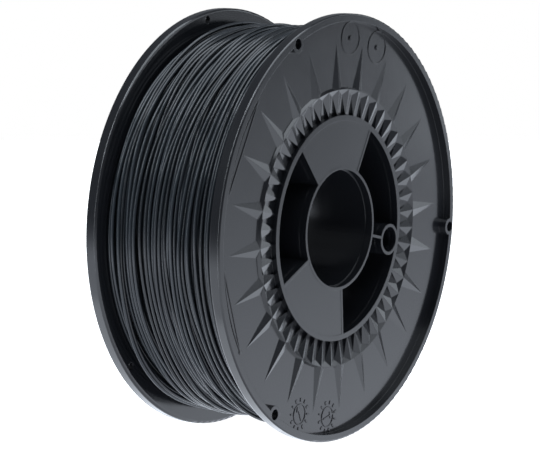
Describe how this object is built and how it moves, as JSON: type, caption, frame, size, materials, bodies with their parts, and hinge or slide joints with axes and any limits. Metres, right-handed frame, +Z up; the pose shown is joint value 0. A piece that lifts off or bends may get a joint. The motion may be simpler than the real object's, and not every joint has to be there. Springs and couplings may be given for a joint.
{
  "type": "filament spool",
  "caption": "Full spool of thermoplastic filament: ribbed core between sunburst flanges, centre bore, drive hole and rim holes for the free end.",
  "frame": {"origin": "middle of the spool: on its axis, halfway between the two flanges' outer faces", "axes": "+Y along the spool's axis from the front flange to the rear one, so the front flange faces -Y; +Z up; the drive hole lies 13.9 degrees below +X"},
  "size_m": [0.2, 0.074, 0.2],
  "materials": {
    "spool_plastic": "satin moulded black styrene plastic",
    "filament": "satin anthracite grey thermoplastic strand"
  },
  "bodies": {
    "root": {"front_flange": "spool_plastic", "rear_flange": "spool_plastic", "core": "spool_plastic", "filament": "filament"}
  },
  "joints": []
}
